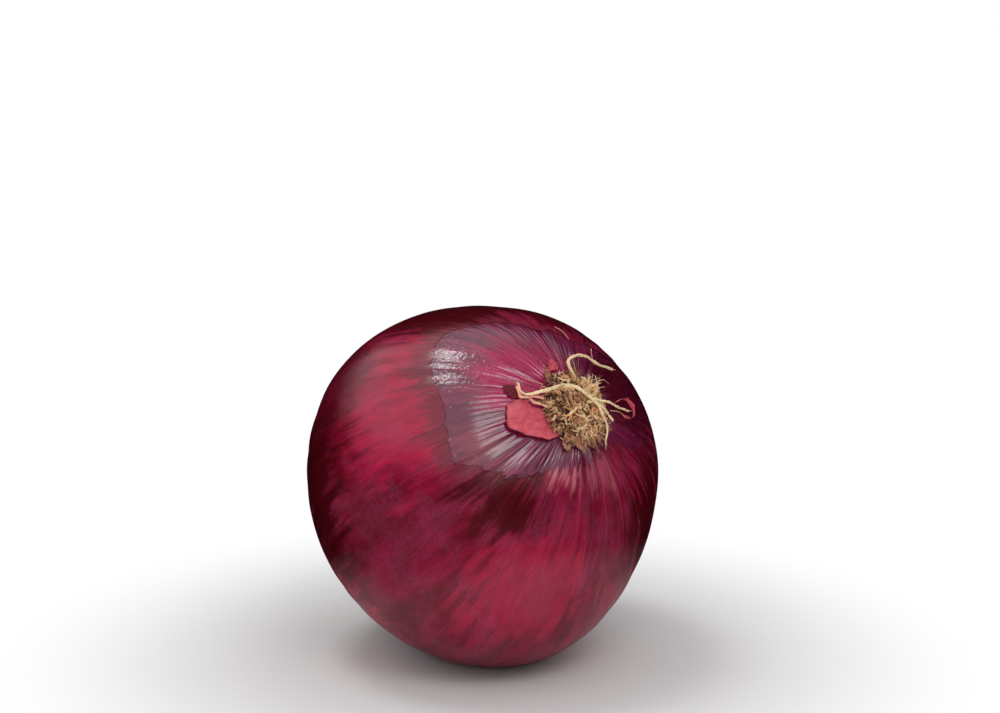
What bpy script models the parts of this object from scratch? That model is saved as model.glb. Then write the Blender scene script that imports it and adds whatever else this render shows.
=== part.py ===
"""A whole red onion in its dry skins, lying on a small flat spot.

Metres, +Z up. The origin is the middle of the flat spot, on the surface that the onion rests on.
The bulb is first shaped round its own axis, with its heart at the origin and its root plate up.
A tilted empty then lays it down with the root plate turned to one side.
"""
import math
import random

import bmesh
import bpy
from mathutils import Matrix, Vector

# Driving dimensions of the bulb
WIDTH = 0.085
HALF = WIDTH / 2
ROOT_ELEVATION = math.radians(36.8)
ROOT_HEADING = math.radians(-49.4)
FLAT_DEPTH = 0.0012

# Side outline: degrees from the root plate round to the neck, and reach from the heart as a share of HALF
OUTLINE = (
    (0, 0.875), (6.5, 0.886), (12.5, 0.927), (25, 0.947), (42, 0.967), (61, 0.970), (78, 0.990), (90, 1.0),
    (103, 0.986), (118, 0.966), (133, 0.953), (149, 0.949), (158, 0.957), (164, 0.980), (168, 1.012), (171, 1.055),
    (173, 1.095), (180, 1.100),
)
# The bulb is slightly off round: share of the radius, lobes, and the turn of the first lobe in degrees
SWELLS = ((0.006, 1, -21.3), (0.0226, 2, 55.0), (0.0253, 3, 16.1))

# Ribs run from the root plate to the neck, and pucker at both ends
RIBS = 18
RIB_HEIGHT = 0.00012
ROOT_PUCKER = 0.00022
NECK_PUCKER = 0.00045
COLUMNS = 4 * RIBS

# The skins
SKIN = 0.0006
GAP = 0.0003
BARE_DEPTH = 0.00035
COVERED_DEPTH = SKIN + GAP + 0.0002
FLAT_COVERED_DEPTH = COVERED_DEPTH + GAP
BULB_RINGS = 32
POLE_CROWDING = 0.28
SKIN_ROWS = 17
NECK_EDGE = 162.0
NECK_RAGGED = 2.2
# Torn edge of the outer skin: degrees round the axis, degrees from the root plate's middle
TORN_EDGE = (
    (0, 42), (22, 39), (40, 34), (57, 28.5), (69, 32), (80, 31), (97, 39.5), (120, 49.5), (138, 48.5),
    (160, 43), (176, 44.5), (186, 46.5), (193, 40), (214, 30.5), (229, 22), (248, 19.5), (284, 15),
    (305, 15.5), (318, 24), (325, 30), (340, 35), (360, 42),
)
TORN_RAGGED = 0.8

# The root plate with its stubs and long dried roots
PLATE_RADIUS = 0.0074
PLATE_RIM = 0.0009
PLATE_DOME = 0.0016
STUBS = 46
STUB_THICK = 0.00042
STUB_LENGTH = (0.0026, 0.0044)
STUB_SUNK = 0.0008
STUB_RING = 0.0066
CLEAR_LIFT = 0.0017
GOLDEN_TURN = math.pi * (3 - math.sqrt(5))
ROOT_THICK = 0.00045

# Long roots, in millimetres: across the axis, up the axis' left, and lift over the bulb
LONG_ROOTS = {
    "left_root": ((-1.6, 4.4, 1.4), (-2.4, 4.6, 3.8), (-3.6, 4.5, 4.4), (-6.2, 4.6, 3.6), (-8.9, 4.9, 2.6),
                  (-11.4, 5.7, 1.7), (-12.2, 7.0, 1.5), (-12.0, 8.4, 1.4)),
    "crossing_root": ((-3.2, 3.6, 1.4), (-2.6, 4.2, 3.8), (-0.6, 3.2, 4.9), (2.0, 0.9, 5.2), (3.2, -1.7, 5.2),
                      (3.5, -4.8, 4.7), (3.9, -7.2, 3.2), (3.6, -9.4, 1.9)),
    "forked_root": ((2.6, -0.3, 5.0), (4.3, -1.8, 4.8), (5.8, -3.6, 4.1), (7.0, -5.0, 3.2)),
    "right_root": ((2.4, 0.4, 5.0), (4.6, -0.8, 4.9), (8.2, -1.7, 3.8), (11.0, -2.3, 2.6), (13.2, -2.7, 2.0)),
    "looped_root": ((2.9, 5.6, 1.2), (2.6, 7.6, 2.6), (2.7, 9.6, 2.9), (4.8, 11.1, 2.8), (8.3, 11.7, 2.4),
                    (10.8, 11.2, 2.0), (13.4, 9.8, 1.7), (17.3, 8.1, 1.5)),
}
# Brown shreds on the plate's lower rim: turn in degrees, reach from the axis and width in millimetres
SHREDS = ((235, 12.0, 3.0), (249, 11.4, 2.6), (263, 11.4, 2.8), (277, 10.4, 2.0))
SHRED_LIFT = 0.0012

# Loose scraps of skin, in millimetres across the axis, up the axis' left, and lift over the bulb
FLAP_INNER = ((-11.2, 3.9), (-10.3, 2.2), (-8.9, 0.6), (-8.7, -1.6), (-8.3, -3.4), (-7.8, -4.7))
FLAP_OUTER = ((-16.2, 4.2), (-17.6, 1.8), (-18.4, -1.0), (-15.6, -3.6), (-12.4, -5.4), (-9.2, -6.3))
FLAP_LIFT = (0.00045, 0.00110)
TIP_INNER = ((-3.8, 9.6), (-2.8, 9.9), (-1.9, 10.0))
TIP_OUTER = ((-3.2, 10.9), (-1.6, 12.3), (0.2, 11.6))
TIP_LIFT = (0.00050, 0.00190)
CURL_PATH = ((14.4, -1.2, 0.8), (15.6, -1.3, 1.4), (16.8, -2.2, 1.8), (17.4, -3.6, 1.8), (16.8, -5.0, 1.4),
             (15.4, -5.6, 0.9), (14.2, -5.0, 0.6))
CURL_WIDTH = 0.0014

MM = 0.001


def smooth_step(low, high, value):
    """0 below low, 1 above high, and an even slope between."""
    t = min(1.0, max(0.0, (value - low) / (high - low)))
    return t * t * (3 - 2 * t)


def curve_through(points, value):
    """Smooth curve through (place, height) points, read at one place."""
    last = len(points) - 1
    k = max(i for i in range(last) if points[i][0] <= value or i == 0)
    (x0, y0), (x1, y1) = points[k], points[k + 1]
    before, after = points[max(0, k - 1)], points[min(last, k + 2)]
    slope0 = (y1 - before[1]) / (x1 - before[0]) if k > 0 else 0.0
    slope1 = (after[1] - y0) / (after[0] - x0) if k + 1 < last else 0.0
    w = x1 - x0
    t = (value - x0) / w
    rise = (2 * t - 3) * t * t
    return ((1 + rise) * y0 - rise * y1 + ((t - 2) * t + 1) * t * w * slope0 + (t - 1) * t * t * w * slope1)


def edge_between(points, value):
    """Straight runs between (place, height) points, read at one place."""
    for (x0, y0), (x1, y1) in zip(points, points[1:]):
        if value <= x1:
            return y0 + (y1 - y0) * (value - x0) / (x1 - x0)
    return points[-1][1]


def form(angle, turn):
    """Smooth surface of the bulb: angle from the root plate and turn round the axis, in radians."""
    reach = HALF * curve_through(OUTLINE, math.degrees(angle))
    height = reach * math.cos(angle)
    fade = max(0.0, 1 - (height / HALF) ** 2)
    swell = sum(share * math.cos(lobes * (turn - math.radians(first))) for share, lobes, first in SWELLS)
    radius = reach * math.sin(angle) * (1 + fade * swell)
    return Vector((radius * math.cos(turn), radius * math.sin(turn), height))


def ribs(angle, turn):
    """Height of the ribs and puckers over the smooth form."""
    degrees = math.degrees(angle)
    root = ROOT_PUCKER * math.exp(-((degrees - 21) / 11) ** 2)
    neck = NECK_PUCKER * smooth_step(140, 168, degrees)
    ends = smooth_step(7, 13, degrees) * smooth_step(0, 7, 180 - degrees)
    return (RIB_HEIGHT + root + neck) * ends * math.cos(RIBS * turn)


def ribbed(angle, turn, depth):
    """Point at this depth under the ribbed surface."""
    point = form(angle, turn)
    return point + point.normalized() * (ribs(angle, turn) - depth)


def laid_down():
    """Where the bulb's heart is and how it is turned, so that its lowest stretch is a flat spot at the origin."""
    root = Vector((math.cos(ROOT_ELEVATION) * math.cos(ROOT_HEADING),
                   math.cos(ROOT_ELEVATION) * math.sin(ROOT_HEADING), math.sin(ROOT_ELEVATION)))
    across = Vector((0, 0, 1)).cross(root).normalized()
    tilt = Matrix((across, root.cross(across), root)).transposed()
    steps = 180
    grid = ((math.pi * i / steps, 2 * math.pi * j / steps) for i in range(1, steps) for j in range(steps))
    low = min((tilt @ form(angle, turn) for angle, turn in grid), key=lambda point: point.z)
    return tilt, Vector((-low.x, -low.y, -low.z - FLAT_DEPTH))


TILT, HEART = laid_down()


def settle(point, depth):
    """Flattens what would reach lower than this depth over the resting surface."""
    placed = TILT @ point + HEART
    placed.z = max(placed.z, depth)
    return TILT.transposed() @ (placed - HEART)


def over(x, y, lift):
    """Point x, y off the axis, lifted over the bulb's smooth root end. All in metres."""
    turn = math.atan2(y, x)
    low, high = 0.0, math.radians(70)
    for _ in range(40):
        middle = (low + high) / 2
        point = form(middle, turn)
        if math.hypot(point.x, point.y) < math.hypot(x, y):
            low = middle
        else:
            high = middle
    return Vector((x, y, form(low, turn).z + lift))


def seat(radius):
    """Height of the bulb's bare surface in the dimple under the root plate."""
    return over(radius, 0.0, -BARE_DEPTH).z


def plate_top(radius):
    """Height of the domed top of the root plate."""
    share = min(1.0, radius / PLATE_RADIUS)
    return seat(PLATE_RADIUS) + GAP + PLATE_RIM + PLATE_DOME * math.sqrt(1 - share * share)


def torn_edges():
    """Angle of the outer skin's torn edge at each column, in degrees."""
    draw = random.Random(7)
    turns = [360 * j / COLUMNS for j in range(COLUMNS)]
    return [edge_between(TORN_EDGE, turn) + draw.uniform(-TORN_RAGGED, TORN_RAGGED) for turn in turns]


def neck_edges():
    """Angle of the outer skin's ragged edge at the neck at each column, in degrees."""
    draw = random.Random(11)
    return [NECK_EDGE + draw.uniform(-NECK_RAGGED, NECK_RAGGED) for _ in range(COLUMNS)]


TORN = torn_edges()
NECK = neck_edges()


def column_of(turn):
    return round(turn / (2 * math.pi) * COLUMNS) % COLUMNS


def bulb_depth(angle, turn):
    """The bulb lies deeper where the outer skin covers it."""
    degrees = math.degrees(angle)
    column = column_of(turn)
    near = [(column + step) % COLUMNS for step in (-1, 0, 1)]
    torn = min(TORN[j] for j in near)
    neck = max(NECK[j] for j in near)
    bare = 1 - smooth_step(torn - 6.5, torn - 1.5, degrees) + smooth_step(neck + 1.5, neck + 6.5, degrees)
    return COVERED_DEPTH + (BARE_DEPTH - COVERED_DEPTH) * bare


def material(name, colour, roughness):
    """Plain surface of one colour."""
    made = bpy.data.materials.new(name)
    made.use_nodes = True
    surface = made.node_tree.nodes["Principled BSDF"]
    surface.inputs["Base Color"].default_value = (*colour, 1)
    surface.inputs["Roughness"].default_value = roughness
    surface.inputs["Metallic"].default_value = 0.0
    return made


def add_part(name, mesh, surface):
    """One sub-part, shaded smooth and hung on the tilted empty."""
    part = bpy.data.objects.new(name, mesh)
    mesh.shade_smooth()
    mesh.materials.clear()
    mesh.materials.append(surface)
    parts.objects.link(part)
    part.parent = axis
    return part


def mesh_from(bm, name):
    bmesh.ops.recalc_face_normals(bm, faces=bm.faces)
    mesh = bpy.data.meshes.new(name)
    bm.to_mesh(mesh)
    bm.free()
    return mesh


def add_solidify(part, thickness, offset):
    shell = part.modifiers.new("thickness", "SOLIDIFY")
    shell.thickness = thickness
    shell.offset = offset
    shell.use_even_offset = True


def make_bulb():
    """The fleshy bulb in its tight inner skin, with the dimple under the root plate and the dried neck."""
    bm = bmesh.new()
    bmesh.ops.create_uvsphere(bm, u_segments=COLUMNS, v_segments=BULB_RINGS, radius=1)
    for vert in bm.verts:
        even = math.acos(max(-1.0, min(1.0, vert.co.z)))
        angle = even - POLE_CROWDING * math.sin(2 * even)
        turn = math.atan2(vert.co.y, vert.co.x) % (2 * math.pi)
        depth = bulb_depth(angle, turn)
        vert.co = settle(ribbed(angle, turn, depth), FLAT_COVERED_DEPTH)
    return add_part("bulb", mesh_from(bm, "bulb"), material("inner_skin", (0.10, 0.018, 0.045), 0.25))


def make_outer_skin():
    """The loose outer skin, torn open round the root plate and ragged at the neck."""
    bm = bmesh.new()
    bmesh.ops.create_grid(bm, x_segments=COLUMNS, y_segments=SKIN_ROWS, size=1)
    for vert in bm.verts:
        column = round((vert.co.x + 1) / 2 * COLUMNS) % COLUMNS
        along = (vert.co.y + 1) / 2
        angle = math.radians(TORN[column] + (NECK[column] - TORN[column]) * along)
        turn = 2 * math.pi * column / COLUMNS
        vert.co = settle(ribbed(angle, turn, 0.0), 0.0)
    bmesh.ops.remove_doubles(bm, verts=bm.verts, dist=0.00001)
    mesh = mesh_from(bm, "outer_skin")
    part = add_part("outer_skin", mesh, material("outer_skin", (0.26, 0.022, 0.05), 0.38))
    add_solidify(part, SKIN, -1)
    return part


def tube(name, points, radii):
    """A closed mesh tube along points, made from a bevelled curve."""
    curve = bpy.data.curves.new(name, "CURVE")
    curve.dimensions = "3D"
    curve.bevel_depth = 1.0
    curve.bevel_resolution = 1
    curve.use_fill_caps = True
    spline = curve.splines.new("POLY")
    spline.points.add(len(points) - 1)
    for control, point, radius in zip(spline.points, points, radii):
        control.co = (*point, 1)
        control.radius = radius
    holder = bpy.data.objects.new(name, curve)
    bpy.context.scene.collection.objects.link(holder)
    bpy.context.view_layer.update()
    mesh = bpy.data.meshes.new_from_object(holder.evaluated_get(bpy.context.evaluated_depsgraph_get()))
    bpy.data.objects.remove(holder)
    bm = bmesh.new()
    bm.from_mesh(mesh)
    bmesh.ops.remove_doubles(bm, verts=bm.verts, dist=0.000001)
    bmesh.ops.recalc_face_normals(bm, faces=bm.faces)
    bm.to_mesh(mesh)
    bm.free()
    return mesh


def stub_points(index, draw):
    """A short curly stub, set by the golden turn and leaning outwards near the rim."""
    share = math.sqrt((index + 0.5) / STUBS)
    radius = STUB_RING * share
    turn = index * GOLDEN_TURN
    outward = Vector((math.cos(turn), math.sin(turn), 0))
    sideways = Vector((-outward.y, outward.x, 0))
    lean = 0.15 + 0.75 * share ** 2 + draw.uniform(-0.15, 0.15)
    way = (outward * lean + Vector((0, 0, 1)) * (1.1 - 0.5 * share) + sideways * draw.uniform(-0.4, 0.4))
    way.normalize()
    curl = sideways * draw.uniform(-0.7, 0.7) + Vector((0, 0, 1)) * draw.uniform(-0.55, 0.1) * share
    length = draw.uniform(*STUB_LENGTH)
    start = outward * radius
    start.z = plate_top(radius)
    points = [start - way * STUB_SUNK]
    for step in (0.3, 0.65, 1.0):
        point = start + way * length * step + curl * length * step * step * 0.6
        off_axis = math.hypot(point.x, point.y)
        if off_axis > PLATE_RADIUS:
            point.z = max(point.z, over(point.x, point.y, CLEAR_LIFT).z)
        points.append(point)
    return points


def shred_mesh(turn, reach, width):
    """A thin pointed shred from inside the plate's rim out over the bulb."""
    outward = Vector((math.cos(turn), math.sin(turn), 0))
    sideways = Vector((-outward.y, outward.x, 0))
    bm = bmesh.new()
    bmesh.ops.create_grid(bm, x_segments=3, y_segments=2, size=1)
    inner = PLATE_RADIUS * 0.8
    for vert in bm.verts:
        along = (vert.co.x + 1) / 2
        spread = vert.co.y * width / 2 * (1 - 0.65 * along)
        flat = outward * (inner + (reach - inner) * along) + sideways * spread
        vert.co = over(flat.x, flat.y, SHRED_LIFT)
    return mesh_from(bm, "shred")


def baked_solid(name, mesh, thickness):
    """An open mesh given its thickness, as a plain mesh."""
    holder = bpy.data.objects.new(name, mesh)
    bpy.context.scene.collection.objects.link(holder)
    add_solidify(holder, thickness, 0)
    bpy.context.view_layer.update()
    made = bpy.data.meshes.new_from_object(holder.evaluated_get(bpy.context.evaluated_depsgraph_get()))
    bpy.data.objects.remove(holder)
    return made


def plate_mesh():
    """The corky plate: domed above, and hollowed below to follow the bulb's dimple."""
    bm = bmesh.new()
    bmesh.ops.create_uvsphere(bm, u_segments=28, v_segments=10, radius=1)
    for vert in bm.verts:
        radius = PLATE_RADIUS * math.hypot(vert.co.x, vert.co.y)
        if vert.co.z > 0:
            height = plate_top(radius)
        else:
            height = seat(radius) + GAP + PLATE_RIM * (1 + vert.co.z)
        vert.co = Vector((vert.co.x * PLATE_RADIUS, vert.co.y * PLATE_RADIUS, height))
    return mesh_from(bm, "plate")


def make_root_plate():
    """The root plate, with its stubs, shreds and long dried roots joined to it."""
    pieces = bpy.data.collections.new("root_pieces")
    bpy.context.scene.collection.children.link(pieces)
    draw = random.Random(3)
    for index in range(STUBS):
        radii = [STUB_THICK * size for size in (1.0, 1.0, 0.9, 0.7)]
        mesh = tube("stub", stub_points(index, draw), radii)
        pieces.objects.link(bpy.data.objects.new("stub", mesh))
    for name, path in LONG_ROOTS.items():
        points = [over(x * MM, y * MM, lift * MM) for x, y, lift in path]
        radii = [ROOT_THICK * (1.1 - 0.3 * k / (len(points) - 1)) for k in range(len(points))]
        pieces.objects.link(bpy.data.objects.new(name, tube(name, points, radii)))
    for turn, reach, width in SHREDS:
        mesh = baked_solid("shred", shred_mesh(math.radians(turn), reach * MM, width * MM), SKIN)
        pieces.objects.link(bpy.data.objects.new("shred", mesh))
    plate = bpy.data.objects.new("plate", plate_mesh())
    bpy.context.scene.collection.objects.link(plate)
    join = plate.modifiers.new("join", "BOOLEAN")
    join.operation = "UNION"
    join.operand_type = "COLLECTION"
    join.collection = pieces
    join.solver = "EXACT"
    bpy.context.view_layer.update()
    mesh = bpy.data.meshes.new_from_object(plate.evaluated_get(bpy.context.evaluated_depsgraph_get()))
    for used in [plate, *pieces.objects]:
        bpy.data.objects.remove(used)
    bpy.data.collections.remove(pieces)
    bm = bmesh.new()
    bm.from_mesh(mesh)
    bmesh.ops.triangulate(bm, faces=bm.faces)
    bmesh.ops.remove_doubles(bm, verts=bm.verts, dist=0.000002)
    bmesh.ops.dissolve_degenerate(bm, dist=0.000002, edges=bm.edges)
    bm.to_mesh(mesh)
    bm.free()
    part = add_part("root_plate", mesh, material("dried_root", (0.52, 0.36, 0.17), 0.85))
    mesh.set_sharp_from_angle(angle=math.radians(50))
    return part


def along_path(path, share):
    """Point at this share of a run of straight stretches."""
    place = share * (len(path) - 1)
    k = min(len(path) - 2, int(place))
    low, high = Vector(path[k]), Vector(path[k + 1])
    return low.lerp(high, place - k)


def make_scrap(name, inner, outer, lifts, cells, surface):
    """A scrap of dry skin between an inner and an outer edge, lifting away towards the outer one."""
    bm = bmesh.new()
    bmesh.ops.create_grid(bm, x_segments=cells[0], y_segments=cells[1], size=1)
    for vert in bm.verts:
        along, out = (vert.co.x + 1) / 2, (vert.co.y + 1) / 2
        flat = along_path(inner, along).lerp(along_path(outer, along), out) * MM
        vert.co = over(flat.x, flat.y, lifts[0] + (lifts[1] - lifts[0]) * out ** 2)
    mesh = mesh_from(bm, name)
    if sum(face.normal.z for face in mesh.polygons) < 0:
        mesh.flip_normals()
    part = add_part(name, mesh, surface)
    add_solidify(part, SKIN, 1)
    return part


def make_curl(surface):
    """A narrow ribbon of skin curled over beside the right root."""
    points = [over(x * MM, y * MM, lift * MM) for x, y, lift in CURL_PATH]
    bm = bmesh.new()
    steps = 2 * (len(points) - 1)
    bmesh.ops.create_grid(bm, x_segments=steps, y_segments=1, size=1)
    for vert in bm.verts:
        share = (vert.co.x + 1) / 2
        middle = along_path(points, share)
        width = CURL_WIDTH * (1 - 0.4 * share)
        vert.co = middle + Vector((0, 0, 1)) * width * (vert.co.y + 1) / 2
    part = add_part("skin_curl", mesh_from(bm, "skin_curl"), surface)
    add_solidify(part, SKIN, 0)
    return part


for old in list(bpy.data.objects):
    bpy.data.objects.remove(old)

parts = bpy.data.collections.new("red_onion")
bpy.context.scene.collection.children.link(parts)
axis = bpy.data.objects.new("bulb_axis", None)
parts.objects.link(axis)
axis.matrix_world = Matrix.Translation(HEART) @ TILT.to_4x4()

make_bulb()
make_outer_skin()
make_root_plate()
scrap_skin = material("scrap_skin", (0.42, 0.07, 0.11), 0.55)
make_scrap("skin_flap", FLAP_INNER, FLAP_OUTER, FLAP_LIFT, (10, 4), scrap_skin)
make_scrap("skin_tip", TIP_INNER, TIP_OUTER, TIP_LIFT, (4, 3), scrap_skin)
make_curl(scrap_skin)
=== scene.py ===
"""The finish of a whole red onion: every visible surface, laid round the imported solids.

Metres, +Z up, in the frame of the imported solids. Each piece is shaped round the bulb's own axis, with the
bulb's heart at the origin and the root plate up, and its mesh is then laid down as the solids are.
"""
import math

import bmesh
import bpy
import numpy as np
from mathutils import Matrix, Vector


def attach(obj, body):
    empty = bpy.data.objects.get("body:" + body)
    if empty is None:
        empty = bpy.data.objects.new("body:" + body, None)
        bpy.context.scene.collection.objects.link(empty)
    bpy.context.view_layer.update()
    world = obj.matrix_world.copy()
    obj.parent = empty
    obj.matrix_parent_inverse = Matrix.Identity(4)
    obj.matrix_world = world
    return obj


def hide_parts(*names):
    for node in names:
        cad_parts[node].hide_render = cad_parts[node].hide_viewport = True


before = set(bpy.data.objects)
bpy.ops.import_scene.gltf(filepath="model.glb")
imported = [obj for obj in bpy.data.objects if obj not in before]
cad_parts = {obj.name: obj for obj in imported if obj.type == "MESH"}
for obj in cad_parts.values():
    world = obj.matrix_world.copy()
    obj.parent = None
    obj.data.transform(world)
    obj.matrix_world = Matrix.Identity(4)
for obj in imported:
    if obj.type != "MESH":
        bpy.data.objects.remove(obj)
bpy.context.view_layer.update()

MM = 0.001
LAP = 2 * math.pi
UP = np.array((0.0, 0.0, 1.0))

# Driving dimensions of the bulb, as in the solids
WIDTH = 0.085
HALF = WIDTH / 2
ROOT_ELEVATION = math.radians(36.8)
ROOT_HEADING = math.radians(-49.4)
FLAT_DEPTH = 0.0012
FLAT_SKIN_DEPTH = 0.0004

# Side outline: degrees from the root plate round to the neck, and reach from the heart as a share of HALF
OUTLINE = (
    (0, 0.875), (6.5, 0.886), (12.5, 0.927), (25, 0.947), (42, 0.967), (61, 0.970), (78, 0.990), (90, 1.0),
    (103, 0.986), (118, 0.966), (133, 0.953), (149, 0.949), (158, 0.957), (164, 0.980), (168, 1.012),
    (171, 1.055), (173, 1.095), (180, 1.100),
)
# The bulb is slightly off round: share of the radius, lobes, and the turn of the first lobe in degrees
SWELLS = ((0.006, 1, -21.3), (0.0226, 2, 55.0), (0.0253, 3, 16.1))

# Ribs run from the root plate to the neck, and pucker at both ends
RIBS = 18
RIB_HEIGHT = 0.09 * MM
ROOT_PUCKER = 0.16 * MM
NECK_PUCKER = 0.45 * MM
DENT = 0.10 * MM

# Inner skin: how deep it lies under the smooth form, bare and covered, its pleats, and its flutes at the neck
BARE_DEPTH = 0.062 * MM
COVERED_DEPTH = 0.17 * MM
PLEAT = 0.10 * MM
FINE_PLEAT = 0.025 * MM
FLUTE = 0.35 * MM
NECK_HOLLOW = 2.2 * MM

# Outer skin: its thickness, how its torn edge curls and crackles, and its ragged flared end at the neck
SHEET = 0.04 * MM
EDGE_CURL = 1.1 * MM
CRACKLE = 0.012 * MM
CRACKLE_REACH = 7 * MM
NECK_EDGE = 162.0
NECK_FLARE = 0.9 * MM
NECK_FLARE_REACH = 1.6 * MM
WELD = 0.002 * MM
# Torn edge: degrees round the axis, degrees from the root plate's middle
TORN_EDGE = (
    (0, 42), (22, 39), (40, 34), (57, 28.5), (69, 32), (80, 31), (97, 39.5), (120, 49.5), (138, 48.5),
    (160, 43), (176, 44.5), (186, 46.5), (193, 40), (214, 30.5), (229, 22), (248, 19.5), (284, 15),
    (305, 15.5), (318, 24), (325, 30), (340, 35), (360, 42),
)
# How it varies: degrees round, raggedness, fringe in degrees, then lift, film and frayed reach in millimetres
EDGE_KINDS = (
    (0, 0.6, 0.0, 0.12, 1.2, 0.4), (60, 0.6, 0.2, 0.08, 1.4, 0.6), (98, 0.4, 0.0, 0.02, 4.0, 0.9),
    (120, 0.24, 0.0, 0.0, 5.6, 0.8), (178, 0.24, 0.0, 0.0, 5.4, 0.8), (196, 0.4, 0.4, 0.0, 3.4, 1.6),
    (212, 0.5, 0.6, 0.0, 1.8, 2.8), (228, 0.6, 0.8, 0.0, 1.6, 3.8), (262, 0.6, 1.0, 0.0, 2.4, 4.2),
    (300, 0.6, 0.8, 0.0, 2.6, 2.8), (322, 0.6, 0.2, 0.08, 1.2, 0.8), (360, 0.6, 0.0, 0.12, 1.2, 0.4),
)

# The root plate and its dried roots
PLATE_RADIUS = 7.4 * MM
PLATE_RIM = 0.9 * MM
PLATE_DOME = 1.6 * MM
PLATE_GAP = 0.65 * MM
PLATE_BUMP = 0.22 * MM
GOLDEN_TURN = math.pi * (3 - math.sqrt(5))
ROOT_MASS_RADIUS = 9.3 * MM
ROOTLET_SPREAD = 0.8 * MM
ROOT_THICK = 0.45 * MM
RIBBON_THICK = 0.42 * MM
HAIR_THICK = 0.09 * MM

# Long roots, in millimetres: across the axis, up the axis' left, and lift over the bulb
LONG_ROOTS = {
    "left_root": ((-1.6, 4.4, 1.4), (-2.4, 4.6, 3.8), (-3.8, 4.5, 4.4), (-7.0, 4.1, 3.9), (-9.6, 4.4, 3.1),
                  (-11.7, 4.8, 2.3), (-12.6, 5.8, 1.9), (-12.5, 7.0, 1.6), (-12.1, 8.2, 1.4)),
    "crossing_root": ((-3.2, 3.6, 1.4), (-2.6, 4.4, 3.8), (-0.4, 3.6, 4.9), (2.0, 0.9, 5.2),
                      (3.3, -1.4, 5.2), (3.9, -4.6, 4.2), (4.0, -7.2, 3.0), (3.4, -9.6, 1.8)),
    "forked_root": ((2.6, -0.3, 5.0), (4.3, -2.4, 4.8), (5.3, -4.0, 4.1), (6.5, -5.6, 3.2)),
    "right_root": ((2.4, 0.4, 5.0), (4.6, -0.8, 4.9), (7.4, -2.0, 4.1), (10.6, -3.0, 3.0),
                   (14.2, -3.6, 2.2)),
    "looped_root": ((2.9, 4.6, 1.2), (2.4, 6.4, 2.6), (1.8, 8.3, 2.9), (2.2, 10.0, 3.1), (4.1, 10.9, 3.1),
                    (6.5, 11.3, 2.9), (9.1, 10.8, 2.6), (11.1, 9.4, 2.2), (13.5, 8.4, 1.8),
                    (16.9, 7.6, 1.5)),
}
# How thick each long root is, as a share of ROOT_THICK
LONG_ROOT_GIRTH = (1.05, 1.15, 0.95, 0.8, 1.05)
# Flat ribbons of root skin beside the left root, in the same terms
RIBBONS = (
    ((-12.5, 7.3, 1.5), (-13.1, 5.8, 1.6), (-13.1, 4.8, 1.7), (-11.8, 4.2, 1.8), (-10.2, 3.6, 2.0),
     (-8.4, 2.6, 2.2)),
    ((-11.4, 3.7, 1.5), (-10.8, 2.7, 1.6), (-9.8, 1.8, 1.8), (-8.3, 0.7, 1.9)),
)
# The tuft of fibres: from here to there, in the same terms
TUFT = ((2.4, 1.6, 3.3), (6.4, 3.6, 3.3))
# Fine hairs that lie over the bulb, in the same terms
HAIRS = (
    ((9.3, 21.5, 0.7), (9.5, 19.4, 1.2), (9.8, 17.2, 0.7)),
    ((15.5, 14.2, 0.6), (13.7, 12.7, 1.0), (12.1, 10.2, 0.9)),
    ((4.6, 8.4, 1.2), (4.2, 10.6, 2.2), (5.2, 12.6, 1.4)),
    ((8.2, -3.0, 2.0), (10.8, -3.8, 2.2), (13.4, -4.9, 1.2)),
    ((7.4, 4.2, 2.2), (9.8, 4.3, 2.6), (12.2, 3.5, 1.6)),
    ((-7.0, 6.1, 2.0), (-8.6, 7.2, 2.0), (-9.6, 8.9, 1.0)),
)
# Brown papery shreds on the plate's rim: turn in degrees, reach from the axis and width in millimetres
SHREDS = (
    (176, 9.2, 2.0), (188, 9.6, 2.4), (201, 9.4, 2.0), (214, 10.0, 2.4), (226, 11.0, 2.8), (233, 12.2, 2.8),
    (241, 10.8, 3.2), (250, 11.3, 3.0), (258, 10.6, 3.0), (268, 10.8, 2.8), (279, 10.0, 2.6),
    (292, 9.6, 2.0), (318, 9.6, 1.6), (20, 9.4, 1.4), (62, 9.6, 1.6), (118, 9.8, 1.8), (150, 9.4, 1.6),
)

# Loose scraps of skin: inner and outer edge in millimetres across the axis and up its left, and their lift
FLAP_INNER = ((-11.1, 3.9), (-11.1, 2.2), (-8.8, 1.1), (-7.9, -0.9), (-7.2, -3.2), (-6.6, -5.2))
FLAP_OUTER = ((-12.9, 4.6), (-16.2, 4.2), (-18.2, 0.8), (-18.4, -1.3), (-14.8, -4.2), (-10.4, -6.2),
              (-6.9, -6.0))
FLAP_LIFT = (0.50 * MM, 1.15 * MM)
TIP_INNER = ((-3.9, 8.9), (-2.0, 9.3), (0.4, 9.4))
TIP_OUTER = ((-3.6, 9.5), (-1.1, 12.7), (0.5, 10.2))
TIP_LIFT = (0.6 * MM, 1.7 * MM)
# A scrap behind the left root's end, painted dark wine-red all over as shade
DARK_INNER = ((-12.2, 8.4), (-12.6, 6.8), (-12.4, 5.0))
DARK_OUTER = ((-14.6, 9.0), (-15.4, 7.2), (-14.4, 5.2))
DARK_LIFT = (0.35 * MM, 0.75 * MM)
CURL_PATH = ((11.8, -1.0, 1.3), (13.6, -0.5, 1.5), (15.4, -0.4, 1.7), (16.6, -1.6, 1.8), (16.9, -3.2, 1.7),
             (16.2, -4.6, 1.4), (14.6, -4.9, 1.1), (13.0, -4.0, 0.9))
CURL_WIDTH = 1.0 * MM
SCRAP = 0.11 * MM

# Dried sheaths round the neck: how many, and how far from the axis and from the heart they start
SHEATHS = 13
SHEATH_RADIUS = 5.1 * MM
SHEATH_START = 44.4 * MM
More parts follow.
